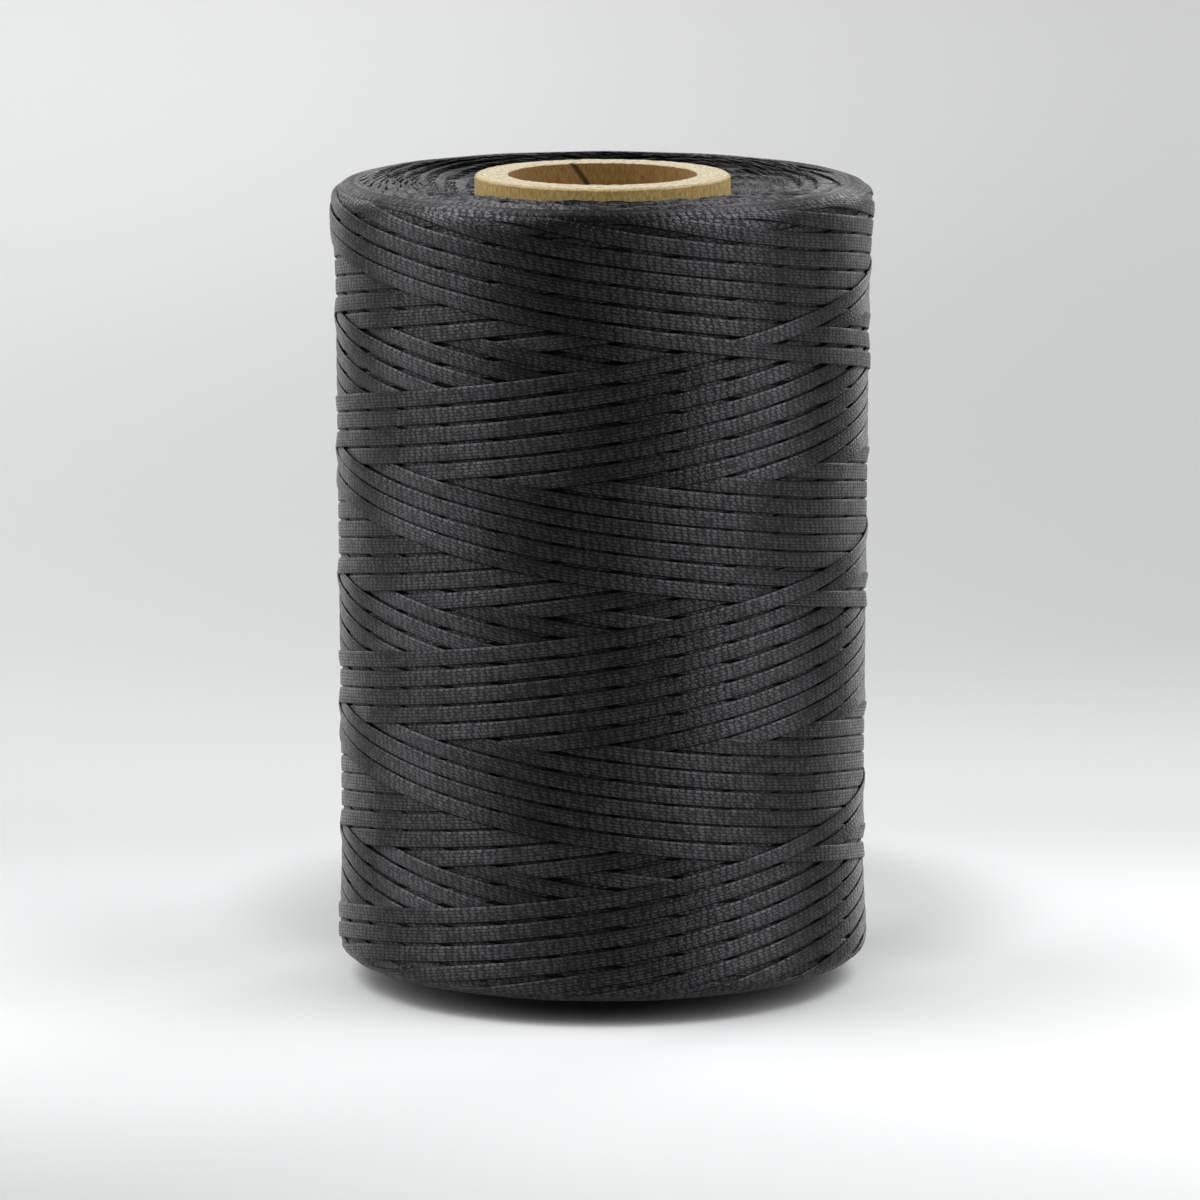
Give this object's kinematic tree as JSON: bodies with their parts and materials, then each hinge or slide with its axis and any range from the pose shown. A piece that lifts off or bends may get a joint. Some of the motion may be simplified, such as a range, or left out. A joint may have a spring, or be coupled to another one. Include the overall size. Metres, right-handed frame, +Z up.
{
  "type": "waxed thread spool",
  "caption": "Cross-wound spool of flat braided waxed thread on a spiral-wound paper tube, open right through for a spindle.",
  "frame": {"origin": "on the axis, at the lower end of the paper tube, which the spool stands on", "axes": "+Z up along the tube; the winding is round about it, and -Y is the side seen from the front"},
  "size_m": [0.072, 0.072, 0.1094],
  "materials": {
    "liner_paper": "matte",
    "board": "matte",
    "wrap_paper": "matte",
    "thread": "satin"
  },
  "bodies": {
    "root": {"inner_liner": "liner_paper", "board_ply_1": "board", "board_ply_2": "board", "board_ply_3": "board", "board_ply_4": "board", "board_ply_5": "board", "board_ply_6": "board", "outer_wrap": "wrap_paper", "wound_thread": "thread", "outer_turns": "thread"}
  },
  "joints": []
}
